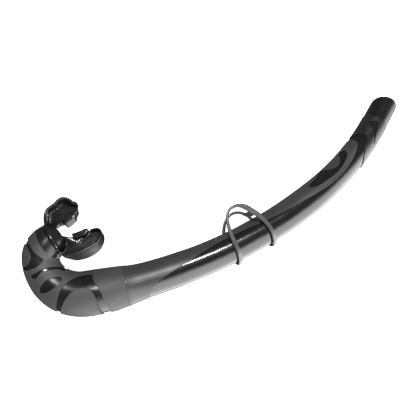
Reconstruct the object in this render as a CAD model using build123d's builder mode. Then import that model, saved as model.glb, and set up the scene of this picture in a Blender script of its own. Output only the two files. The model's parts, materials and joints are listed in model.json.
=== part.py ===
"""A J-shaped snorkel tube: mouthpiece, over-moulded bend, over-moulded barrel and keeper.

The duct's centreline lies in one plane. It is drawn here in Plane.XY, from the mouth to the
tip, with the mouth end of the bend at the origin and +X pointing into the mouth. The last
step lays the finished pieces on the ground, as the snorkel rests on a table.
Millimetres throughout.
"""

import os
from math import atan2, cos, degrees, hypot, radians, sin

from build123d import *

# ---- duct centreline: (radius, turn in degrees) of each arc, all turning the same way ----
NECK_BEND = (16.2, 74.0)
LOW_BEND = (33.0, 81.6)
SEAM_BEND = (264.0, 6.9)
LOWER_BARREL = (520.0, 6.8)
KEEPER_RUN = (433.0, 16.28)
UPPER_BARREL = (284.0, 20.9)
TIP_RUN = 28.0
TIP_AXIS_END = 21.5
TIP_SLANT = 22.5

# ---- tube sections: distance along the centreline and outside radius ----
BEND_OUTSIDE = [(0, 14.3), (5, 14.7), (10, 14.8), (15, 14.4), (20, 14.1), (28, 14.5), (36, 15.4)]
BEND_OUTSIDE += [(45, 16.5), (55, 17.5), (65, 18.2), (75, 18.5), (85, 18.2), (93, 17.6)]
BEND_BORE = [(0, 9.0), (10, 9.8), (20, 10.6), (28, 11.4), (36, 12.3), (45, 13.2), (55, 13.9)]
BEND_BORE += [(65, 14.2), (75, 13.8)]
SEAM_RADIUS = 16.9
BARREL_FLARE = [(4, 16.15), (8, 15.6), (13, 15.25), (20, 15.05), (40, 14.75), (58, 14.35)]
KEEPER_RADIUS = 14.2
BARREL_TAPER = [(194, 13.95), (208, 13.6), (230, 13.15), (252, 12.75), (272, 12.5)]
BARREL_BORE = [(75, 11.4), (175, 11.2), (230, 10.6)]
SKIN_END_RADIUS = 12.45
BARREL_SKIN = 0.6
BEND_SKIN = 1.0
TIP_RADIUS = SKIN_END_RADIUS - BARREL_SKIN
TIP_BORE = 10.0

# ---- coupling at the seam and spigot at the mouth ----
SLEEVE_RADIUS = 13.2
SLEEVE_BORE = 11.6
SLEEVE_REACH = 13.0
SOCKET_DEPTH = 13.3
FIT_CLEARANCE = 0.08
BEAD_HEIGHT = 0.5
BEAD_WIDTH = 2.4
BEAD_DISTANCE = 7.5
SPIGOT_RADIUS = 10.6
SPIGOT_LENGTH = 7.0
MOUTH_BORE = BEND_BORE[0][1]
BODY_GAP = 0.2

# ---- keeper ----
KEEPER_CLEARANCE = 0.3
KEEPER_WALL = 2.0
BAND_WIDTH = 4.0
KEEPER_HEIGHT = 32.0

# ---- mouthpiece ----
MOUTH_ROLL = -13.0
COLLAR_RADIUS = 14.4
COLLAR_LENGTH = 6.0
SHIELD_THICKNESS = 2.6
SHIELD_HALF_HEIGHT = 12.5
BITE_THICKNESS = 3.2
LUG_HALF_HEIGHT = 5.5

# ---- how the snorkel lies: tilts of its plane on the ground ----
LIE_ROLL = -0.95
LIE_PITCH = 0.83

THROUGH = 40.0
MID = Plane.XY

with BuildLine(MID) as duct:
    neck_arc = JernArc((0, 0), (-1, 0), NECK_BEND[0], NECK_BEND[1])
    low_arc = JernArc(neck_arc @ 1, neck_arc % 1, LOW_BEND[0], LOW_BEND[1])
    seam_arc = JernArc(low_arc @ 1, low_arc % 1, SEAM_BEND[0], SEAM_BEND[1])
    lower_arc = JernArc(seam_arc @ 1, seam_arc % 1, LOWER_BARREL[0], LOWER_BARREL[1])
    keeper_arc = JernArc(lower_arc @ 1, lower_arc % 1, KEEPER_RUN[0], KEEPER_RUN[1])
    upper_arc = JernArc(keeper_arc @ 1, keeper_arc % 1, UPPER_BARREL[0], UPPER_BARREL[1])
    tip_line = PolarLine(upper_arc @ 1, TIP_RUN, direction=upper_arc % 1)

BEND_LENGTH = neck_arc.length + low_arc.length + seam_arc.length
SKIN_END = lower_arc.length + keeper_arc.length + upper_arc.length
keeper_centre = keeper_arc.arc_center
duct_path = duct.wire()


def plane_at(distance):
    """The plane across the duct at this distance from the mouth, facing the tip."""
    origin = duct_path.position_at(distance, position_mode=PositionMode.LENGTH)
    heading = duct_path.tangent_at(distance, position_mode=PositionMode.LENGTH)
    return Plane(origin=origin, x_dir=(0, 0, 1), z_dir=heading)


def along_barrel(distance):
    """The plane across the barrel at this distance from the seam, facing the tip."""
    return plane_at(BEND_LENGTH + distance)


def beside_barrel(distance, rise):
    """The point this far along the keeper's run and this far towards its inner side."""
    turned = (distance - lower_arc.length) / KEEPER_RUN[0]
    start = (lower_arc @ 1) - keeper_centre
    angle = atan2(start.Y, start.X) + turned
    reach = KEEPER_RUN[0] - rise
    return keeper_centre.X + reach * cos(angle), keeper_centre.Y + reach * sin(angle)


def round_duct(stations):
    """A solid of round sections, one for each (plane, radius)."""
    with BuildPart() as solid:
        for plane, radius in stations:
            with BuildSketch(plane):
                Circle(radius)
        loft()
    return solid.part


def bend_solid(table, shrink=0.0, last=None):
    """A solid along the bend, from its (distance, radius) table and its end at the seam."""
    stations = [(plane_at(distance), radius - shrink) for distance, radius in table]
    if last is not None:
        stations.append((plane_at(BEND_LENGTH), last - shrink))
    return round_duct(stations)


def barrel_solid(shrink=0.0):
    """The barrel's outside, from just past the seam to its skin's end, made thinner by shrink."""
    table = [(BODY_GAP, SEAM_RADIUS)] + BARREL_FLARE
    table += [(distance, KEEPER_RADIUS) for distance in (75, 100, 125, 150, 178)]
    table += BARREL_TAPER + [(SKIN_END, SKIN_END_RADIUS)]
    return round_duct([(along_barrel(distance), radius - shrink) for distance, radius in table])


def prism(*curves):
    """The closed outline of these curves, run through the whole snorkel across its plane."""
    with BuildPart() as solid:
        with BuildSketch(MID):
            with BuildLine():
                for curve in curves:
                    add(curve)
            make_face()
        extrude(amount=THROUGH, both=True)
    return solid.part


def outline(points, closing):
    """A smooth curve through points, closed by straight runs through the closing points."""
    curve = Spline(*points, mode=Mode.PRIVATE)
    return prism(curve, Polyline(points[-1], *closing, points[0], mode=Mode.PRIVATE))


def smooth_window(points):
    """A rounded window through these points."""
    return prism(Spline(*points, periodic=True, mode=Mode.PRIVATE))


# ---- windows of the bend's skin ----
NECK_EDGE = [(-4.5, 15.5), (-6.3, 10.6), (-7.5, 0), (-6.6, -8.6), (-2.7, -16.3), (2.0, -19.5)]
neck_window = outline(NECK_EDGE, [(30, -19.5), (30, 20), (-4.0, 20)])

PAD_OUTER = [(-13.8, 15), (-14.2, 2.3), (-13.3, -4.6), (-11.6, -12.2), (-14.5, -13.3), (-28, -9.4)]
PAD_INNER = [(-27, -8.2), (-21.6, -7.9), (-17.9, -4.6), (-16.8, 1.1), (-17.8, 6.8), (-22, 13)]
with BuildLine(MID) as boomerang:
    boomerang_outer = Spline(*PAD_OUTER)
    boomerang_inner = Spline(*PAD_INNER)
    Line(boomerang_outer @ 1, boomerang_inner @ 0)
    Line(boomerang_inner @ 1, boomerang_outer @ 0)
boomerang_window = prism(*boomerang.edges())
back_region = outline(PAD_INNER, [(-32, 13), (-32, -8)])

SLIT = [(-24.5, -17.3), (-17.3, -17.3), (-10.0, -18.7), (-3.9, -22.1), (-0.6, -26.0)]
SLIT += [(-1.8, -26.6), (-4.8, -24.0), (-10.5, -20.8), (-17.5, -19.3), (-24.5, -19.9)]
slit_window = smooth_window(SLIT)

LEAF = [(-24.8, -31.0), (-21.8, -27.9), (-16.7, -26.6), (-11.3, -27.3), (-6.2, -30.8)]
LEAF += [(-8.5, -33.0), (-13.2, -34.3), (-18.8, -34.6), (-23.6, -33.2)]
leaf_window = smooth_window(LEAF)

ARCH_LEFT = [(-32, -55.5), (-16.9, -43.4), (-11.5, -38.7), (-1.9, -35.7), (6.5, -37), (14.2, -40.4)]
ARCH_RIGHT = [(14.2, -40.4), (13.2, -45.4), (13.4, -51.6), (13.0, -58.5), (12.0, -74)]
ARCH_INNER = [(6.2, -74), (7.0, -61.1), (8.2, -53.5), (5.5, -46.6), (-1.0, -44.0), (-8.3, -45.0)]
ARCH_INNER += [(-12.8, -47.0), (-28, -61)]
with BuildLine(MID) as arch:
    arch_left = Spline(*ARCH_LEFT)
    arch_right = Spline(*ARCH_RIGHT)
    arch_inner = Spline(*ARCH_INNER)
    Line(arch_right @ 1, arch_inner @ 0)
    Line(arch_inner @ 1, arch_left @ 0)
arch_window = prism(*arch.edges())
side_region = outline(ARCH_INNER, [(-28, -80), (6.2, -80)])

# ---- bend: core, skin and the two pads that its windows cut free ----
bend_outside = bend_solid(BEND_OUTSIDE, last=SEAM_RADIUS)
bend_inside = bend_solid(BEND_OUTSIDE, shrink=BEND_SKIN, last=SEAM_RADIUS)
neck_solid = bend_solid(BEND_OUTSIDE[:6])
mouth_plane = Plane.YZ
socket_plane = plane_at(BEND_LENGTH)
socket_end = plane_at(BEND_LENGTH - SOCKET_DEPTH)
into_bend = Plane(socket_plane.origin, x_dir=(0, 0, 1), z_dir=-socket_plane.z_dir)
bore_stations = [(plane_at(distance), radius) for distance, radius in BEND_BORE]
bore_stations.append((into_bend.offset(SOCKET_DEPTH), SLEEVE_BORE + 0.2))
bend_bore = round_duct(bore_stations)

with BuildPart() as bare_neck:
    add(neck_solid)
    add(neck_window, mode=Mode.INTERSECT)

with BuildPart() as elbow_core:
    add(bend_inside)
    add(bare_neck.part)
    with BuildSketch(mouth_plane):
        Circle(SPIGOT_RADIUS)
    extrude(amount=SPIGOT_LENGTH)
    add(bend_bore, mode=Mode.SUBTRACT)
    with BuildSketch(mouth_plane):
        Circle(MOUTH_BORE)
    extrude(amount=SPIGOT_LENGTH, mode=Mode.SUBTRACT)
    with BuildSketch(into_bend):
        Circle(SLEEVE_RADIUS + FIT_CLEARANCE)
    extrude(amount=SOCKET_DEPTH, mode=Mode.SUBTRACT)
    with BuildSketch(into_bend.offset(BEAD_DISTANCE - BEAD_WIDTH / 2 - FIT_CLEARANCE)):
        Circle(SLEEVE_RADIUS + BEAD_HEIGHT + FIT_CLEARANCE)
    extrude(amount=BEAD_WIDTH + 2 * FIT_CLEARANCE, mode=Mode.SUBTRACT)

with BuildPart() as bend_shell:
    add(bend_outside)
    add(bend_inside, mode=Mode.SUBTRACT)
    add(neck_window, mode=Mode.SUBTRACT)

with BuildPart() as elbow_overmould:
    add(bend_shell.part)
    for window in (boomerang_window, slit_window, leaf_window, arch_window):
        add(window, mode=Mode.SUBTRACT)
    add(back_region, mode=Mode.SUBTRACT)
    add(side_region, mode=Mode.SUBTRACT)

with BuildPart() as elbow_side_panel:
    add(bend_shell.part)
    add(side_region, mode=Mode.INTERSECT)

with BuildPart() as elbow_back_pad:
    add(bend_shell.part)
    add(back_region, mode=Mode.INTERSECT)

# ---- coupling sleeve: fixed in the barrel, with a snap bead in the bend's socket ----
with BuildPart() as coupling_sleeve:
    with BuildSketch(into_bend.offset(-SLEEVE_REACH)):
        Circle(SLEEVE_RADIUS)
    extrude(amount=2 * SLEEVE_REACH)
    with BuildSketch(into_bend.offset(BEAD_DISTANCE - BEAD_WIDTH / 2)):
        Circle(SLEEVE_RADIUS + BEAD_HEIGHT)
    extrude(amount=BEAD_WIDTH)
    with BuildSketch(into_bend.offset(-SLEEVE_REACH)):
        Circle(SLEEVE_BORE)
    extrude(amount=2 * SLEEVE_REACH, mode=Mode.SUBTRACT)

# ---- barrel: gloss core and satin skin ----
tip_plane = along_barrel(SKIN_END)
tip_end = tip_plane.offset(TIP_AXIS_END)
slant_plane = tip_end.rotated((0, TIP_SLANT, 0))
barrel_inside = barrel_solid(shrink=BARREL_SKIN)
bore_table = [(along_barrel(distance), radius) for distance, radius in BARREL_BORE]
sleeve_seat = into_bend.offset(-SLEEVE_REACH)
barrel_bore = round_duct([(sleeve_seat, SLEEVE_BORE)] + bore_table + [(tip_plane, TIP_BORE)])

with BuildPart() as barrel_core:
    add(barrel_inside)
    with BuildSketch(tip_plane):
        Circle(TIP_RADIUS)
    extrude(amount=TIP_RUN)
    add(barrel_bore, mode=Mode.SUBTRACT)
    with BuildSketch(tip_plane):
        Circle(TIP_BORE)
    extrude(amount=TIP_RUN, mode=Mode.SUBTRACT)
    with BuildSketch(into_bend.offset(-SLEEVE_REACH)):
        Circle(SLEEVE_RADIUS)
    extrude(amount=SLEEVE_REACH, mode=Mode.SUBTRACT)
    split(bisect_by=slant_plane, keep=Keep.BOTTOM)

# The gloss window runs from the blade's point to the leaf, and on under the tip's tongue.
LEAF_EDGE = [(39, -88), (44.5, -78.5), (51.5, -73.4), (62, -71.8), (90, -71.4), (118, -72.1)]
LEAF_EDGE += [(146, -75.2), (176, -78.8), (207, -80.5), (231, -80.9), (251, -77.4), (267, -70.8)]
LEAF_EDGE += [(275, -65.5), (279.6, -59.6), (278.0, -55.8), (271, -48)]
TONGUE_EDGE = [(275, -45), (281.5, -53.4), (288.5, -56.2), (291.3, -59.4), (287.1, -65.1)]
TONGUE_EDGE += [(281.5, -70.7), (277.0, -76.5), (273.5, -88)]
with BuildLine(MID) as gloss:
    leaf_edge = Spline(*LEAF_EDGE)
    tongue_edge = Spline(*TONGUE_EDGE)
    Line(leaf_edge @ 1, tongue_edge @ 0)
    Polyline(tongue_edge @ 1, (200, -120), leaf_edge @ 0)
gloss_window = prism(*gloss.edges())
beyond_tongue = outline(TONGUE_EDGE, [(380, -88), (380, -30), (276, -30)])

TEARDROP = [(214.4, -73.8), (222.6, -76.2), (232.3, -75.9), (242, -75.1), (251.2, -72.8)]
TEARDROP += [(258.9, -69.3), (264.6, -65.0), (266.0, -61.9), (261.0, -61.4), (255.2, -66.2)]
TEARDROP += [(250.4, -69.4), (245, -70.4), (239.6, -68.6), (235, -67.0), (226, -69.3)]
teardrop_window = smooth_window(TEARDROP)

FLAME = [(304.7, -50.9), (308.6, -56.3), (304.2, -60.6), (299.0, -65.6), (293.8, -71.4)]
FLAME += [(295.9, -64.5), (300.0, -57.3)]
flame_window = smooth_window(FLAME)

with BuildPart() as barrel_shell:
    add(barrel_solid())
    add(barrel_inside, mode=Mode.SUBTRACT)

with BuildPart() as barrel_overmould:
    add(barrel_shell.part)
    add(gloss_window, mode=Mode.SUBTRACT)
    add(beyond_tongue, mode=Mode.SUBTRACT)
    add(teardrop_window, mode=Mode.SUBTRACT)

with BuildPart() as tip_overmould:
    add(barrel_shell.part)
    add(beyond_tongue, mode=Mode.INTERSECT)
    add(flame_window, mode=Mode.SUBTRACT)

# ---- keeper: two straps under the barrel, joined by an arch of two strands and a web ----
KEEPER_LINE = [(95.3, -30), (95.3, -8), (95.4, 10), (97.2, 19.5), (101.5, 25.4), (108, 28.4)]
KEEPER_LINE += [(114.5, 27.6), (120.3, 23.6), (125.2, 16.8), (128.2, 8), (129.7, -6), (130.4, -30)]
WEB_CORNERS = [(116.5, 32), (127.5, 32), (127.5, 14.8), (116.5, 14.8)]
KEEPER_SWEEP = (86.0, 140.0)
keeper_bore = KEEPER_RADIUS + KEEPER_CLEARANCE
keeper_outside = keeper_bore + KEEPER_WALL

with BuildPart() as band:
    with BuildSketch(MID):
        with BuildLine():
            Spline(*[beside_barrel(distance, rise) for distance, rise in KEEPER_LINE])
        trace(line_width=BAND_WIDTH)
    extrude(amount=keeper_outside, both=True)

web_region = prism(Polyline(*[beside_barrel(*c) for c in WEB_CORNERS], close=True, mode=Mode.PRIVATE))

with BuildPart() as web:
    add(band.part)
    add(web_region, mode=Mode.INTERSECT)

with BuildPart() as keeper:
    with BuildSketch(along_barrel(KEEPER_SWEEP[0])):
        Circle(keeper_outside)
        Rectangle(2 * keeper_outside, KEEPER_HEIGHT, align=(Align.CENTER, Align.MAX))
        Circle(keeper_bore, mode=Mode.SUBTRACT)
        Rectangle(2 * keeper_bore, KEEPER_HEIGHT, align=(Align.CENTER, Align.MAX), mode=Mode.SUBTRACT)
    sweep_angle = degrees((KEEPER_SWEEP[1] - KEEPER_SWEEP[0]) / KEEPER_RUN[0])
    revolve(axis=Axis(keeper_centre, (0, 0, 1)), revolution_arc=sweep_angle)
    add(band.part, mode=Mode.INTERSECT)
    add(web.part)

# ---- mouthpiece: collar, C-shaped lip shield, bite platforms and inner lugs ----
SHIELD_LINE = [(35.8, -15.8), (33, -19.8), (27, -23.2), (19, -24.2), (12, -22.4), (7, -17), (4.6, -8)]
SHIELD_SIDE = [(0, -11), (10, -12.5), (24, -11), (33, -8), (38, 0), (33, 8), (24, 11), (10, 12.5)]
PLATFORM = [(13, -22), (12, -9), (15.5, -5.5), (21, -6.5), (27.5, -9), (31, -14), (35, -16.4)]
LUG = [(15.5, -4.2), (27.6, -6.8), (29.4, -9.4), (27.5, -13.4), (22.5, -12.2), (15.6, -8.0)]
bite_plane = MID.rotated((MOUTH_ROLL, 0, 0))
side_plane = Plane((0, 0, 0), x_dir=(1, 0, 0), z_dir=bite_plane.y_dir)


def both_sides(points):
    """These points, and then their mirror images back to the start."""
    return points + [(x, -y) for x, y in reversed(points)]


with BuildPart() as mouthpiece:
    with BuildSketch(bite_plane):
        with BuildLine():
            Spline(*both_sides(SHIELD_LINE))
        trace(line_width=SHIELD_THICKNESS)
    extrude(amount=SHIELD_HALF_HEIGHT, both=True)
    with BuildSketch(side_plane):
        with BuildLine():
            Spline(*SHIELD_SIDE)
            Line(SHIELD_SIDE[-1], (0, 11))
            Line((0, 11), SHIELD_SIDE[0])
        make_face()
    extrude(amount=THROUGH, both=True, mode=Mode.INTERSECT)
    for side in (1, -1):
        with BuildSketch(bite_plane):
            with BuildLine():
                Polyline(*[(x, side * y) for x, y in PLATFORM + [(33, -19.8), (24, -23.8)]], close=True)
            make_face()
        extrude(amount=BITE_THICKNESS / 2, both=True)
        with BuildSketch(bite_plane):
            with BuildLine():
                Polyline(*[(x, side * y) for x, y in LUG], close=True)
            make_face()
        extrude(amount=LUG_HALF_HEIGHT, both=True)
    with BuildSketch(mouth_plane.offset(BODY_GAP)):
        Circle(COLLAR_RADIUS)
    extrude(amount=COLLAR_LENGTH)
    with BuildSketch(mouth_plane):
        Circle(MOUTH_BORE)
    extrude(amount=THROUGH / 2, mode=Mode.SUBTRACT)
    with BuildSketch(mouth_plane):
        Circle(SPIGOT_RADIUS + FIT_CLEARANCE)
    extrude(amount=SPIGOT_LENGTH + BODY_GAP, mode=Mode.SUBTRACT)

# ---- lay the pieces on the ground and write them ----
elbow_core.part.label = "elbow_core"
elbow_overmould.part.label = "elbow_overmould"
elbow_side_panel.part.label = "elbow_side_panel"
elbow_back_pad.part.label = "elbow_back_pad"
coupling_sleeve.part.label = "coupling_sleeve"
barrel_core.part.label = "barrel_core"
barrel_overmould.part.label = "barrel_overmould"
tip_overmould.part.label = "tip_overmould"
keeper.part.label = "keeper"
mouthpiece.part.label = "mouthpiece"

pieces = [elbow_core.part, elbow_overmould.part, elbow_side_panel.part, elbow_back_pad.part]
pieces += [coupling_sleeve.part, barrel_core.part, barrel_overmould.part, tip_overmould.part]
pieces += [keeper.part, mouthpiece.part]

tilt = Location((0, 0, 0), (LIE_ROLL, LIE_PITCH, 0))
whole = Compound(children=[piece.moved(tilt) for piece in pieces]).bounding_box()
centre = whole.center()
place = Location((-centre.X, -centre.Y, -whole.min.Z)) * tilt

os.makedirs("parts", exist_ok=True)
for piece in pieces:
    laid = piece.moved(place)
    laid.label = piece.label
    export_step(laid, f"parts/{piece.label}.step")
    print(piece.label, len(piece.solids()), round(piece.volume), piece.is_valid)
print("placed by", place)
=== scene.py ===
"""Looks of a J-shaped snorkel tube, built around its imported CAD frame."""

import json
from math import cos, pi, radians, sin

import bmesh
import bpy
from mathutils import Matrix, Vector


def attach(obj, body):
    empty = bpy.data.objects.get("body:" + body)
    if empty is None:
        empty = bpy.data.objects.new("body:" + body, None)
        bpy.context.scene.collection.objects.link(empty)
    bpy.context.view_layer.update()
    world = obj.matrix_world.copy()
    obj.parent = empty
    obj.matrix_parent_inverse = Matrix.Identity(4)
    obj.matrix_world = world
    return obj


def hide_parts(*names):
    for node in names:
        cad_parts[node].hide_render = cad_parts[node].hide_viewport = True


MM = 0.001

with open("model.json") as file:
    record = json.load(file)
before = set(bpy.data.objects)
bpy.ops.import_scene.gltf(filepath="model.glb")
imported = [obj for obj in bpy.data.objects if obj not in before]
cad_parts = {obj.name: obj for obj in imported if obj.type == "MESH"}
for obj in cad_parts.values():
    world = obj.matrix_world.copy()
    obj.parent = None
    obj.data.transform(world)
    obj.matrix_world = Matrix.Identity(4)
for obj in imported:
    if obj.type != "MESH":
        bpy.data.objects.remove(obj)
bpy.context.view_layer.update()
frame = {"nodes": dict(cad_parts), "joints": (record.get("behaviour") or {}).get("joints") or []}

# ---- the snorkel's own axes: mouth end of the bend, +X into the mouth, +Z across the J ----
joints = {joint["name"]: joint for joint in frame["joints"]}
MOUTH = Vector(joints["mouthpiece_turn"]["pos_m"])
INTO_MOUTH = Vector(joints["mouthpiece_turn"]["axis"]).normalized()
ACROSS = Vector(joints["keeper_slide"]["axis"]).normalized()
INWARD = ACROSS.cross(INTO_MOUTH)


def turned(x, y, z):
    """A direction given along the snorkel's own axes, in the row frame."""
    return INTO_MOUTH * x + INWARD * y + ACROSS * z


def placed(x, y, z=0.0):
    """A point given in millimetres along the snorkel's own axes, in the row frame."""
    return MOUTH + turned(x, y, z) * MM


# ---- materials ----
def new_material(name, colour, roughness):
    """A material with its nodes, its links and its shader, and this colour and roughness."""
    material = bpy.data.materials.new(name)
    material.use_nodes = True
    tree = material.node_tree
    shader = tree.nodes["Principled BSDF"]
    shader.inputs["Base Color"].default_value = (*colour, 1)
    shader.inputs["Roughness"].default_value = roughness
    return material, tree.nodes, tree.links, shader


def noise(nodes, links, scale, detail=3.0, stretch=(1, 1, 1)):
    """Noise fixed to the surface, with this many cells to a metre."""
    place = nodes.new("ShaderNodeTexCoord")
    spread = nodes.new("ShaderNodeVectorMath")
    spread.operation = "MULTIPLY"
    spread.inputs[1].default_value = stretch
    pattern = nodes.new("ShaderNodeTexNoise")
    pattern.inputs["Scale"].default_value = scale
    pattern.inputs["Detail"].default_value = detail
    links.new(place.outputs["Object"], spread.inputs[0])
    links.new(spread.outputs[0], pattern.inputs["Vector"])
    return pattern.outputs["Fac"]


def remap(nodes, links, value, low, high, from_low=0.3, from_high=0.7):
    """The value, taken from one range to another."""
    change = nodes.new("ShaderNodeMapRange")
    change.inputs["From Min"].default_value = from_low
    change.inputs["From Max"].default_value = from_high
    change.inputs["To Min"].default_value = low
    change.inputs["To Max"].default_value = high
    links.new(value, change.inputs["Value"])
    return change.outputs["Result"]


def vary_colour(nodes, links, shader, value, dark, light):
    """The base colour, running from dark to light with the value."""
    mix = nodes.new("ShaderNodeMix")
    mix.data_type = "RGBA"
    mix.inputs[6].default_value = (*dark, 1)
    mix.inputs[7].default_value = (*light, 1)
    links.new(value, mix.inputs[0])
    links.new(mix.outputs[2], shader.inputs["Base Color"])


def add_bump(nodes, links, shader, layers):
    """Bump from these (height, strength, depth in metres) layers, one over another."""
    below = None
    for height, strength, depth in layers:
        bump = nodes.new("ShaderNodeBump")
        bump.inputs["Strength"].default_value = strength
        bump.inputs["Distance"].default_value = depth
        links.new(height, bump.inputs["Height"])
        if below is not None:
            links.new(below, bump.inputs["Normal"])
        below = bump.outputs["Normal"]
    links.new(below, shader.inputs["Normal"])


CLOUDS_PER_METRE = 55
SMEARS_PER_METRE = 240
SMEAR_STRETCH = (0.35, 1, 1)
RIPPLE_DEPTH = 0.0004
GRAIN_DEPTH = 0.0001
RUBBED_FROM = 0.52
RUBBED_TO = 0.6


def moulded_material(name, dark, light, roughness, grain, ripple, wear=0.1, sheen=0.5):
    """A moulded polymer: cloudy colour, uneven gloss, rubbed edges, fine grain and a faint ripple.

    The roughness runs between two values. The grain and the ripple are each (cells to a metre, strength).
    """
    material, nodes, links, shader = new_material(name, dark, roughness[0])
    shader.inputs["Specular IOR Level"].default_value = sheen
    cloud = noise(nodes, links, CLOUDS_PER_METRE, 2.0)
    smear = noise(nodes, links, SMEARS_PER_METRE, 4.0, SMEAR_STRETCH)
    fine = noise(nodes, links, grain[0], 2.0)
    wave = noise(nodes, links, ripple[0], 1.0)
    vary_colour(nodes, links, shader, remap(nodes, links, cloud, 0, 1), dark, light)
    rough = remap(nodes, links, smear, roughness[0], roughness[1])
    if wear:
        edge = nodes.new("ShaderNodeNewGeometry")
        rub = remap(nodes, links, edge.outputs["Pointiness"], 0, wear, RUBBED_FROM, RUBBED_TO)
        total = nodes.new("ShaderNodeMath")
        links.new(rough, total.inputs[0])
        links.new(rub, total.inputs[1])
        rough = total.outputs[0]
    links.new(rough, shader.inputs["Roughness"])
    add_bump(nodes, links, shader, [(wave, ripple[1], RIPPLE_DEPTH), (fine, grain[1], GRAIN_DEPTH)])
    return material


def grey(value):
    """A grey a hair towards blue."""
    return (value, value, value * 1.02)


def gloss_silicone():
    return moulded_material("gloss_silicone", grey(0.008), grey(0.014), roughness=(0.14, 0.24),
                            grain=(2600, 0.12), ripple=(160, 0.1), wear=0.0)


def gloss_tube():
    return moulded_material("gloss_tube", grey(0.006), grey(0.009), roughness=(0.15, 0.21),
                            grain=(3000, 0.05), ripple=(120, 0.008), sheen=0.65)


def satin_skin():
    return moulded_material("satin_skin", grey(0.034), grey(0.041), roughness=(0.36, 0.44),
                            grain=(5200, 0.16), ripple=(150, 0.05))


def tip_skin():
    return moulded_material("tip_skin", grey(0.011), grey(0.015), roughness=(0.26, 0.34),
                            grain=(5200, 0.12), ripple=(150, 0.04), sheen=0.6)


def soft_bend():
    return moulded_material("soft_bend", grey(0.008), grey(0.012), roughness=(0.2, 0.3),
                            grain=(3600, 0.12), ripple=(140, 0.06))


def matte_skin():
    return moulded_material("matte_skin", grey(0.043), grey(0.051), roughness=(0.52, 0.62),
                            grain=(6200, 0.25), ripple=(130, 0.06))


def keeper_silicone():
    return moulded_material("keeper_silicone", grey(0.05), grey(0.065), roughness=(0.28, 0.36),
                            grain=(4000, 0.12), ripple=(200, 0.1), wear=0.0, sheen=0.8)


def sleeve_plastic():
    return moulded_material("sleeve_plastic", grey(0.02), grey(0.026), roughness=(0.35, 0.45),
                            grain=(4000, 0.1), ripple=(200, 0.1), wear=0.0)


CAD_MATERIALS = {
    "elbow_core": soft_bend,
    "elbow_overmould": matte_skin,
    "elbow_side_panel": matte_skin,
    "elbow_back_pad": matte_skin,
    "coupling_sleeve": sleeve_plastic,
    "barrel_core": gloss_tube,
    "barrel_overmould": satin_skin,
    "tip_overmould": tip_skin,
}


def finish_cad_nodes():
    """Gives each CAD node that stays its material."""
    made = {}
    for node, maker in CAD_MATERIALS.items():
        if maker not in made:
            made[maker] = maker()
        mesh = frame["nodes"][node].data
        mesh.materials.clear()
        mesh.materials.append(made[maker])


# ---- shapes ----
ROUND = 96


def smooth_line(points, steps=10, closed=False):
    """A Catmull-Rom curve through these points, which may have two, three or four values each."""
    knots = [Vector(p) for p in points]
    count = len(knots)
    spans = count if closed else count - 1
    line = []
    for i in range(spans):
        before = knots[i - 1] if closed or i else knots[0] * 2 - knots[1]
        start = knots[i]
        end = knots[(i + 1) % count]
        after = knots[(i + 2) % count] if closed or i + 2 < count else end * 2 - start
        for step in range(steps):
            t = step / steps
            line.append(0.5 * (2 * start + (end - before) * t
                               + (2 * before - 5 * start + 4 * end - after) * t ** 2
                               + (3 * start - before - 3 * end + after) * t ** 3))
    if not closed:
        line.append(knots[-1])
    return line


def mesh_object(name, verts, faces):
    """A new smooth-shaded object from these vertices and faces."""
    mesh = bpy.data.meshes.new(name)
    mesh.from_pydata([tuple(v) for v in verts], [], faces)
    mesh.shade_smooth()
    piece = bpy.data.objects.new(name, mesh)
    bpy.context.scene.collection.objects.link(piece)
    return piece


def skin_of_rings(rings, closed):
    """Faces that join rings of equal length, with flat ends unless the row of rings is closed."""
    size = len(rings[0])
    count = len(rings)
    faces = []
    for i in range(count if closed else count - 1):
        after = (i + 1) % count
        for k in range(size):
            k2 = (k + 1) % size
            faces.append((i * size + k, i * size + k2, after * size + k2, after * size + k))
    if not closed:
        faces.append(tuple(reversed(range(size))))
        faces.append(tuple((count - 1) * size + k for k in range(size)))
    return [v for ring in rings for v in ring], faces


def slab(name, outline, half_height, bevel=0.0):
    """A flat plate with this outline in x and w, with its top and bottom edges taken off."""
    middle = sum((Vector(p) for p in outline), Vector((0, 0))) / len(outline)
    rings = []
    for level, inset in ((-1, bevel), (-1, 0), (1, 0), (1, bevel)):
        height = level * (half_height - (bevel if inset == 0 else 0))
        ring = []
        for p in outline:
            inward = (middle - Vector(p)).normalized() * inset
            ring.append((p[0] + inward.x, p[1] + inward.y, height))
        rings.append(ring)
    return mesh_object(name, *skin_of_rings(rings, closed=False))


def apply_modifiers(piece):
    """Replaces the piece's mesh with what its modifiers make of it."""
    graph = bpy.context.evaluated_depsgraph_get()
    made = bpy.data.meshes.new_from_object(piece.evaluated_get(graph))
    old = piece.data
    piece.modifiers.clear()
    piece.data = made
    bpy.data.meshes.remove(old)


def joined(name, parts):
    """One object holding the meshes of these parts, which are then gone."""
    body = bmesh.new()
    for part in parts:
        body.from_mesh(part.data)
        bpy.data.objects.remove(part)
    bmesh.ops.recalc_face_normals(body, faces=body.faces)
    mesh = bpy.data.meshes.new(name)
    body.to_mesh(mesh)
    body.free()
    piece = bpy.data.objects.new(name, mesh)
    bpy.context.scene.collection.objects.link(piece)
    return piece


def moulded(piece, voxel, rounds):
    """Melts the piece's overlapping solids into one skin, and softens its corners."""
    melt = piece.modifiers.new("melt", "REMESH")
    melt.mode = "VOXEL"
    melt.voxel_size = voxel
    soften = piece.modifiers.new("soften", "SMOOTH")
    soften.factor = 0.5
    soften.iterations = rounds
    apply_modifiers(piece)


def cut_out(piece, cutter):
    """Takes the cutter's space out of the piece, and removes the cutter."""
    cut = piece.modifiers.new("cut", "BOOLEAN")
    cut.operation = "DIFFERENCE"
    cut.solver = "EXACT"
    cut.object = cutter
    apply_modifiers(piece)
    bpy.data.objects.remove(cutter)


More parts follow.
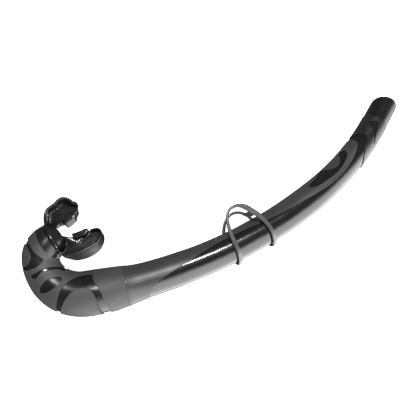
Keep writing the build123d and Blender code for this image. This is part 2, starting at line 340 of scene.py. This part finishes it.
# ---- mouthpiece, in millimetres: x into the mouth, w across it, h through its height ----
# The shields are (x, w, half height) and the tray edges (x, w, height of the lip). A tray's section is
# (how far from the lip to the shield, how much of the lip's height), from TRAY_START along the shield.
MOUTHPIECE_ROLL = radians(-13)
UPPER_SHIELD = ((4.2, 0, 12.4), (3.0, 6, 12.4), (3.2, 11.8, 11.6), (5.4, 17.2, 11.0), (8.7, 21.4, 11.0),
                (13.0, 22.4, 11.2), (16.4, 22.9, 11.4), (19.2, 24.0, 11.6), (22.6, 24.3, 11.6),
                (25.8, 22.8, 11.2), (28.2, 19.8, 10.4), (29.4, 17.6, 9.2), (31.2, 16.4, 8.2),
                (31.7, 14.2, 7.2), (30.8, 12.2, 6.4), (28.6, 10.6, 5.8), (26.0, 9.4, 5.2))
LOWER_SHIELD = ((4.2, 0, 12.4), (2.8, -6, 12.4), (1.6, -11.5, 11.8), (1.9, -15.8, 10.8), (4.2, -18.3, 10.4),
                (8.0, -20.3, 11.0), (12.0, -22.0, 11.8), (17.0, -23.4, 12.0), (22.5, -24.0, 11.6),
                (27.8, -23.4, 11.0), (32.4, -21.2, 9.8), (35.8, -17.8, 8.2), (36.7, -14.6, 7.0),
                (35.6, -12.2, 6.2), (33.2, -10.8, 5.6), (29.8, -9.8, 5.2))
SHIELD_HALF_THICKNESS = 0.85
RIM_RADIUS = 1.05
RIM_REACH = 2.6 * RIM_RADIUS
RIM_STEP = 30
RIM_POINTS = 9
UPPER_TRAY_EDGE = ((4.8, 8.4, 2.2), (7.0, 7.7, 2.2), (9.2, 7.6, 2.6), (11.4, 8.3, 2.6), (13.6, 7.6, 2.2),
                   (16.2, 7.2, 1.6), (19.0, 7.2, 1.6), (24.0, 7.0, 1.6), (27.0, 8.6, 1.6))
LOWER_TRAY_EDGE = ((4.8, 2.4, 3.4), (6.4, 1.0, 3.6), (8.2, -0.8, 3.8), (10.2, -2.7, 3.8), (12.6, -4.7, 3.4),
                   (15.2, -6.4, 2.4), (19.0, -7.2, 1.6), (24.0, -7.0, 1.6), (27.0, -8.6, 1.6))
TRAY_START = 1
TRAY_SECTION = ((0.0, 1.0), (0.1, 0.92), (0.22, 0.62), (0.36, 0.26), (0.5, 0.06), (0.62, 0.0), (1.0, 0.0))
TRAY_POINTS = 48
FLOOR_HALF_HEIGHT = 1.6
UPPER_LUG = ((15.6, 5.3), (18.0, 5.0), (21.1, 5.6), (24.4, 6.4), (26.4, 8.6), (24.8, 11.0),
             (20.3, 10.8), (15.8, 9.4))
LOWER_LUG = ((16.2, -5.0), (18.2, -5.4), (21.1, -5.8), (24.4, -6.3), (28.0, -6.8), (29.0, -9.0),
             (25.3, -11.2), (20.3, -10.4), (16.2, -9.4))
LUG_HALF_HEIGHT = 5.8
LUG_BEVEL = 0.5
COLLAR_PROFILE = ((0.25, 13.8), (0.7, 14.5), (1.7, 14.8), (2.8, 14.4), (3.6, 13.6), (5.2, 12.8), (6.6, 11.8),
                  (7.6, 11.0), (8.0, 10.2), (8.0, 8.0), (0.25, 8.0))
ARM_LEAN = 0.22
ARM_TUCK = 0.13
LEAN_PIVOT = 8.0
LEAN_ACROSS = (5, 14)
LEAN_OUT = (5, 14)
TUCK_ACROSS = (8, 15)
TUCK_OUT = (2, 9)
SPIGOT_SPACE = ((-2.0, 10.68), (7.1, 10.68), (7.1, 9.0), (8.6, 9.2))
MOUTH_VOXEL = 0.42
NUB_PITCH = 2.3
NUB_SHARPNESS = 0.8
FLOOR_NUB = 0.1
FLOOR_NUB_LEVEL = 2.4
FLOOR_FLATNESS = 0.8
FLOOR_NUB_RUN = (7, 33)
LUG_NUB = 0.2
LUG_NUB_LEVEL = (2.6, 5.4)
LUG_NUB_RUN = (17, 29)
LUG_NUB_ACROSS = (3, 13)


def turned_ring(name, profile):
    """A closed profile of (x, radius), turned about the mouth's axis."""
    rings = []
    for k in range(ROUND):
        angle = 2 * pi * k / ROUND
        rings.append([(x, r * cos(angle), r * sin(angle)) for x, r in profile])
    return mesh_object(name, *skin_of_rings(rings, closed=True))


def turned_plug(name, profile):
    """A solid of revolution about the mouth's axis, through (x, radius) points, with flat ends."""
    angles = [2 * pi * k / ROUND for k in range(ROUND)]
    rings = [[(x, r * cos(angle), r * sin(angle)) for angle in angles] for x, r in profile]
    return mesh_object(name, *skin_of_rings(rings, closed=False))


def shield_section(half_height):
    """The shield's section as (out, h) points: a thin wall with a beaded rim at each edge."""
    rims = []
    for level, start in ((1, -30), (-1, 150)):
        height = level * (half_height - RIM_RADIUS)
        rim = []
        for k in range(RIM_POINTS):
            angle = radians(start + RIM_STEP * k)
            rim.append((RIM_RADIUS * cos(angle), height + RIM_RADIUS * sin(angle)))
        rims.append(rim)
    wall = SHIELD_HALF_THICKNESS
    waist = half_height - RIM_REACH
    right = [(wall, -waist), (wall, waist)]
    left = [(-wall, waist), (-wall, -waist)]
    return right + rims[0] + left + rims[1]


def shield_wall(knots):
    """One arm of the lip shield, from the collar out and round to its lug."""
    line = smooth_line(knots, steps=8)
    rings = []
    for i, point in enumerate(line):
        ahead = (line[min(i + 1, len(line) - 1)] - line[max(i - 1, 0)]).to_2d().normalized()
        out = Vector((-ahead.y, ahead.x))
        section = shield_section(point.z)
        rings.append([(point.x + out.x * n, point.y + out.y * n, h) for n, h in section])
    return mesh_object("shield", *skin_of_rings(rings, closed=False))


def spaced(line, count):
    """The same line as this many points, evenly spaced."""
    runs = [0.0]
    for i in range(1, len(line)):
        runs.append(runs[-1] + (line[i] - line[i - 1]).length)
    points = []
    at = 0
    for k in range(count):
        goal = runs[-1] * k / (count - 1)
        while at < len(line) - 2 and runs[at + 1] < goal:
            at += 1
        points.append(line[at].lerp(line[at + 1], (goal - runs[at]) / (runs[at + 1] - runs[at])))
    return points


def tray(shield, edge):
    """One bite tray: a level floor inside the shield that turns up to a lip along its inner edge."""
    outer = spaced(smooth_line([(x, w, 0) for x, w, h in shield[TRAY_START:]], steps=8), TRAY_POINTS)
    inner = spaced(smooth_line(edge, steps=8), TRAY_POINTS)
    rings = []
    for lip, wall in zip(inner, outer):
        top = []
        for across, rise in TRAY_SECTION:
            x = lip.x + (wall.x - lip.x) * across
            w = lip.y + (wall.y - lip.y) * across
            top.append((x, w, FLOOR_HALF_HEIGHT + (lip.z - FLOOR_HALF_HEIGHT) * rise))
        rings.append(top + [(x, w, -h) for x, w, h in reversed(top)])
    return mesh_object("tray", *skin_of_rings(rings, closed=False))


def nub_height(x, w):
    """A field of low round nubs in a staggered grid, from 0 to 1."""
    u = cos(2 * pi * x / NUB_PITCH) * cos(2 * pi * w / NUB_PITCH)
    return max(0.0, u) ** NUB_SHARPNESS


def inside(value, span):
    """Whether the value is between the two ends of the span."""
    return span[0] < value < span[1]


def raise_nubs(piece):
    """Nubs on the bite platforms, and higher ones on the lugs."""
    mesh = piece.data
    normals = [v.normal.copy() for v in mesh.vertices]
    for vertex, normal in zip(mesh.vertices, normals):
        x, w, h = vertex.co
        level = abs(h) < FLOOR_NUB_LEVEL and abs(normal.z) > FLOOR_FLATNESS
        on_platform = level and inside(x, FLOOR_NUB_RUN)
        on_lug = inside(abs(h), LUG_NUB_LEVEL) and inside(x, LUG_NUB_RUN) and inside(abs(w), LUG_NUB_ACROSS)
        if on_lug:
            vertex.co = vertex.co + normal * LUG_NUB * nub_height(x, w + h)
        elif on_platform:
            vertex.co = vertex.co + normal * FLOOR_NUB * nub_height(x, w)


def ramp(value, low, high):
    """From 0 to 1 as the value goes from low to high."""
    t = min(max((value - low) / (high - low), 0), 1)
    return t * t * (3 - 2 * t)


def lay_mouthpiece(piece):
    """Sets the soft arms a little askew, rolls the mouthpiece and puts it at the bend's mouth."""
    for vertex in piece.data.vertices:
        x, w, h = vertex.co
        below = LEAN_PIVOT - h
        x -= ARM_LEAN * below * ramp(w, *LEAN_ACROSS) * ramp(x, *LEAN_OUT)
        w += ARM_TUCK * below * ramp(-w, *TUCK_ACROSS) * (1 - ramp(x, *TUCK_OUT))
        y = w * cos(MOUTHPIECE_ROLL) - h * sin(MOUTHPIECE_ROLL)
        z = w * sin(MOUTHPIECE_ROLL) + h * cos(MOUTHPIECE_ROLL)
        vertex.co = placed(x, y, z)
    piece.data.update()


def build_mouthpiece():
    """The collar and both arms, melted into one moulding, with room for the bend's spigot."""
    parts = [turned_ring("collar", COLLAR_PROFILE)]
    arms = ((UPPER_SHIELD, UPPER_TRAY_EDGE, UPPER_LUG), (LOWER_SHIELD, LOWER_TRAY_EDGE, LOWER_LUG))
    for shield, edge, lug in arms:
        parts.append(shield_wall(shield))
        parts.append(tray(shield, edge))
        outline = [(p.x, p.y) for p in smooth_line(lug, steps=5, closed=True)]
        parts.append(slab("lug", outline, LUG_HALF_HEIGHT, LUG_BEVEL))
    piece = joined("mouthpiece_silicone", parts)
    moulded(piece, MOUTH_VOXEL, rounds=3)
    raise_nubs(piece)
    cut_out(piece, turned_plug("spigot_space", SPIGOT_SPACE))
    lay_mouthpiece(piece)
    piece.data.shade_smooth()
    piece.data.materials.clear()
    piece.data.materials.append(gloss_silicone())
    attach(piece, "mouthpiece")
    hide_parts("mouthpiece")


# ---- seam, in millimetres ----
SEAM = Vector(joints["bend_swivel"]["pos_m"])
SEAM_AXIS = Vector(joints["bend_swivel"]["axis"])
SEAM_RADIUS = 16.6
SEAM_INNER_RADIUS = 12.6
SEAM_WIDTH = 0.2


def build_seam():
    """A dark ring in the seam gap, a little below the surfaces on either side: painted shade, standing in
    for the shade inside the gap.
    """
    axis = SEAM_AXIS.normalized()
    rings = []
    corners = ((0, SEAM_INNER_RADIUS), (0, SEAM_RADIUS), (1, SEAM_RADIUS), (1, SEAM_INNER_RADIUS))
    for along, radius in corners:
        ring = []
        for k in range(ROUND):
            angle = 2 * pi * k / ROUND
            spoke = Matrix.Rotation(angle, 3, axis) @ ACROSS
            ring.append(SEAM + (axis * along * SEAM_WIDTH + spoke * radius) * MM)
        rings.append(ring)
    piece = mesh_object("seam_shade_ring", *skin_of_rings(rings, closed=True))
    piece.data.shade_flat()
    # painted shade: this near-black ring stands in for the shade inside the seam gap
    piece.data.materials.append(gloss_silicone())
    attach(piece, "barrel")


# ---- keeper, in millimetres: along the barrel from the seam, up to its inner side, and across ----
# The strands are (distance, rise, across, width of the strap).
KEEPER_CENTRE = Vector(joints["keeper_slide"]["pos_m"])
KEEPER_SPOKE = SEAM - KEEPER_CENTRE
KEEPER_SPOKE -= ACROSS * KEEPER_SPOKE.dot(ACROSS)
KEEPER_TURN = 1 if ACROSS.cross(KEEPER_SPOKE).dot(SEAM_AXIS) > 0 else -1
KEEPER_RUN = 433.0
KEEPER_LOOP_RADIUS = 15.5
NEAR_STRAND = ((95.6, 8, 15.5, 3.9), (96.2, 14.9, 15.4, 3.4), (97.8, 21.5, 15.1, 2.7),
               (100.2, 26.7, 14.8, 2.6), (103.6, 29.9, 14.7, 2.6), (108.4, 31.1, 14.6, 2.8),
               (114.0, 30.1, 14.6, 3.6), (119.0, 26.3, 14.7, 5.0), (123.0, 20.5, 14.9, 5.2),
               (126.6, 14.1, 15.3, 4.6), (128.8, 7.5, 15.5, 4.0))
TIP_SIDE = 129.8
FAR_STRAND = ((129.9, 6, -15.5, 3.9), (129.3, 12.1, -15.4, 3.5), (127.2, 18.1, -15.2, 3.0),
              (123.6, 22.4, -15.0, 2.8), (119.5, 25.1, -14.9, 2.8), (115.4, 26.3, -14.8, 2.8),
              (111.0, 26.1, -14.8, 2.8), (106.2, 23.9, -15.0, 2.8), (102.0, 19.9, -15.2, 3.0),
              (98.6, 14.5, -15.4, 3.4), (96.4, 8, -15.5, 3.9))
SEAM_SIDE = 95.4
STRAP_WIDTH = 3.8
STRAP_THICKNESS = 1.95
STRAP_SQUARENESS = 0.62
STRAP_POINTS = 24
UNDER_STEPS = 6
WEB_LINE = ((122.8, 21.0), (125.0, 18.8), (126.8, 16.6))
WEB_HALF_WIDTH = 14.2
WEB_HALF_THICKNESS = 0.9
WEB_STEPS = 6
KEEPER_VOXEL = 0.4


def on_barrel(distance, rise, across):
    """A point this far along the barrel's run, this far to its inner side and this far across it."""
    angle = distance / KEEPER_RUN
    spoke = Matrix.Rotation(KEEPER_TURN * angle, 3, ACROSS) @ KEEPER_SPOKE.normalized()
    return KEEPER_CENTRE + spoke * (KEEPER_RUN - rise) * MM + ACROSS * across * MM


def strap_under(distance, start, end):
    """Where the strap goes under the barrel, from one side to the other."""
    points = []
    for k in range(UNDER_STEPS + 1):
        angle = start + (end - start) * k / UNDER_STEPS
        rise = -KEEPER_LOOP_RADIUS * sin(angle)
        points.append((distance, rise, KEEPER_LOOP_RADIUS * cos(angle), STRAP_WIDTH))
    return points


def squared(value):
    """A sine or cosine drawn out towards 1 or -1, which makes a circle a rounded box."""
    return abs(value) ** STRAP_SQUARENESS * (1 if value >= 0 else -1)


def keeper_strap():
    """The strap: over the barrel on the near side, under it, back over on the far side, and under it."""
    right = strap_under(TIP_SIDE, 0, pi)
    left = strap_under(SEAM_SIDE, pi, 0)
    line = smooth_line([*NEAR_STRAND, *right, *FAR_STRAND, *left], steps=9, closed=True)
    rings = []
    for i, point in enumerate(line):
        ahead = (line[(i + 1) % len(line)] - line[i - 1]).to_3d().normalized()
        centre = point.to_3d()
        outward = Vector((0, min(centre.y, 0), centre.z)).normalized()
        outward = (outward - ahead * outward.dot(ahead)).normalized()
        side = ahead.cross(outward)
        ring = []
        for k in range(STRAP_POINTS):
            turn = 2 * pi * k / STRAP_POINTS
            broad = squared(cos(turn))
            deep = squared(sin(turn))
            ring.append(centre + side * broad * point.w / 2 + outward * deep * STRAP_THICKNESS / 2)
        rings.append(ring)
    return mesh_object("strap", *skin_of_rings(rings, closed=True))


def keeper_web():
    """The thin web across the arch, between the two strands."""
    rings = []
    for distance, rise in [(p.x, p.y) for p in smooth_line(WEB_LINE, steps=6)]:
        ring = []
        for across in range(-WEB_STEPS, WEB_STEPS + 1):
            ring.append((distance, rise + WEB_HALF_THICKNESS, WEB_HALF_WIDTH * across / WEB_STEPS))
        for across in range(WEB_STEPS, -WEB_STEPS - 1, -1):
            ring.append((distance, rise - WEB_HALF_THICKNESS, WEB_HALF_WIDTH * across / WEB_STEPS))
        rings.append(ring)
    return mesh_object("web", *skin_of_rings(rings, closed=False))


def build_keeper():
    """The strap and its web, melted into one moulding and laid along the barrel's curve."""
    piece = joined("keeper_silicone", [keeper_strap(), keeper_web()])
    moulded(piece, KEEPER_VOXEL, rounds=2)
    for vertex in piece.data.vertices:
        vertex.co = on_barrel(*vertex.co)
    piece.data.shade_smooth()
    piece.data.materials.clear()
    piece.data.materials.append(keeper_silicone())
    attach(piece, "keeper")
    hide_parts("keeper")


# ---- camera, in millimetres and directions along the snorkel's own axes ----
CAMERA_AT = (36.8, -50.7, 358.6)
CAMERA_AIM = (125.9, -41.1, 0.0)
CAMERA_UP = (0.495, 0.857, 0.146)
CAMERA_LENS = 36.44
CAMERA_SHIFT = -0.0025
CAMERA_ROLL = radians(-0.19)
SENSOR_WIDTH = 36.0


def add_camera():
    """The camera, and the directions right, up and out of its picture."""
    data = bpy.data.cameras.new("camera")
    data.lens = CAMERA_LENS
    data.shift_y = CAMERA_SHIFT
    data.sensor_width = SENSOR_WIDTH
    data.clip_start = 0.01
    data.clip_end = 10.0
    camera = bpy.data.objects.new("camera", data)
    bpy.context.scene.collection.objects.link(camera)
    back = (placed(*CAMERA_AT) - placed(*CAMERA_AIM)).normalized()
    up = Matrix.Rotation(CAMERA_ROLL, 3, back) @ turned(*CAMERA_UP)
    right = up.cross(back).normalized()
    up = back.cross(right)
    rotation = Matrix((right, up, back)).transposed().to_4x4()
    camera.matrix_world = Matrix.Translation(placed(*CAMERA_AT)) @ rotation
    bpy.context.scene.camera = camera
    return right, up, back


photo_right, photo_up, photo_back = add_camera()


# ---- floor and light, in metres and the picture's own directions, except KEY_AIM, which placed() takes ----
FLOOR_REACH = 4
STUDIO_DIM = 0.12
STUDIO_SWEEP = 5.0
SWEEP_SIDE = (0.66, -0.75, 0.0)
SWEEP_SPREAD = (0.4, 0.8)
TABLE_DIM = 0.3
TABLE_SPREAD = (-1.0, -0.86)
KEY_PLACE = (0.215, 0.44, 0.7)
KEY_AIM = (95, -75, 0)
KEY_ALONG = (0.82, 0.57, 0)
KEY_SIZE = (0.22, 0.09)
KEY_POWER = 6.5


def in_picture(rightwards, upwards, backwards):
    """A direction given by how far it goes right, up and out of the picture."""
    return photo_right * rightwards + photo_up * upwards + photo_back * backwards


def add_floor():
    """A plain white floor that glossy pieces don't mirror."""
    mesh = bpy.data.meshes.new("floor")
    corners = [(x * FLOOR_REACH, y * FLOOR_REACH, 0) for x, y in ((-1, -1), (1, -1), (1, 1), (-1, 1))]
    mesh.from_pydata(corners, [], [(0, 1, 2, 3)])
    floor = bpy.data.objects.new("floor", mesh)
    bpy.context.scene.collection.objects.link(floor)
    material, _, _, shader = new_material("pale_floor", (0.9, 0.9, 0.9), 0.9)
    shader.inputs["Emission Color"].default_value = (1, 1, 1, 1)
    shader.inputs["Emission Strength"].default_value = 1.0
    mesh.materials.append(material)
    floor.visible_glossy = False


def add_softbox(name, place, aim, along, size, power):
    """A soft rectangular light at this place, aimed at a point, with its long side along a direction."""
    data = bpy.data.lights.new(name, "AREA")
    data.shape = "RECTANGLE"
    data.size = size[0]
    data.size_y = size[1]
    data.energy = power
    lamp = bpy.data.objects.new(name, data)
    bpy.context.scene.collection.objects.link(lamp)
    back = (place - aim).normalized()
    side = (along - back * along.dot(back)).normalized()
    rotation = Matrix((side, back.cross(side), back)).transposed().to_4x4()
    lamp.matrix_world = Matrix.Translation(place) @ rotation


def brighter_towards(nodes, links, direction, spread, dim, bright):
    """A strength that rises from dim to bright as the world is looked at more along this direction."""
    place = nodes.new("ShaderNodeTexCoord")
    along = nodes.new("ShaderNodeVectorMath")
    along.operation = "DOT_PRODUCT"
    along.inputs[1].default_value = direction
    change = nodes.new("ShaderNodeMapRange")
    change.interpolation_type = "SMOOTHSTEP"
    change.inputs["From Min"].default_value = spread[0]
    change.inputs["From Max"].default_value = spread[1]
    change.inputs["To Min"].default_value = dim
    change.inputs["To Max"].default_value = bright
    links.new(place.outputs["Generated"], along.inputs[0])
    links.new(along.outputs["Value"], change.inputs["Value"])
    return change.outputs["Result"]


def add_world():
    """A dim studio with a wide bright sweep at the picture's lower right. The camera sees white paper."""
    world = bpy.data.worlds.new("studio")
    bpy.context.scene.world = world
    world.use_nodes = True
    nodes = world.node_tree.nodes
    links = world.node_tree.links
    studio = nodes["Background"]
    studio.inputs["Color"].default_value = (1, 1, 1, 1)
    sweep = brighter_towards(nodes, links, in_picture(*SWEEP_SIDE), SWEEP_SPREAD, STUDIO_DIM, STUDIO_SWEEP)
    table = brighter_towards(nodes, links, photo_back, TABLE_SPREAD, TABLE_DIM, 1.0)
    both = nodes.new("ShaderNodeMath")
    both.operation = "MULTIPLY"
    links.new(sweep, both.inputs[0])
    links.new(table, both.inputs[1])
    links.new(both.outputs[0], studio.inputs["Strength"])
    paper = nodes.new("ShaderNodeBackground")
    paper.inputs["Color"].default_value = (1, 1, 1, 1)
    seen = nodes.new("ShaderNodeLightPath")
    choose = nodes.new("ShaderNodeMixShader")
    links.new(seen.outputs["Is Camera Ray"], choose.inputs[0])
    links.new(studio.outputs[0], choose.inputs[1])
    links.new(paper.outputs[0], choose.inputs[2])
    links.new(choose.outputs[0], nodes["World Output"].inputs["Surface"])


finish_cad_nodes()
build_mouthpiece()
build_keeper()
build_seam()
add_floor()
add_world()
key_place = MOUTH + in_picture(*KEY_PLACE)
add_softbox("key", key_place, placed(*KEY_AIM), in_picture(*KEY_ALONG), KEY_SIZE, KEY_POWER)
bpy.context.scene.view_settings.view_transform = "Standard"
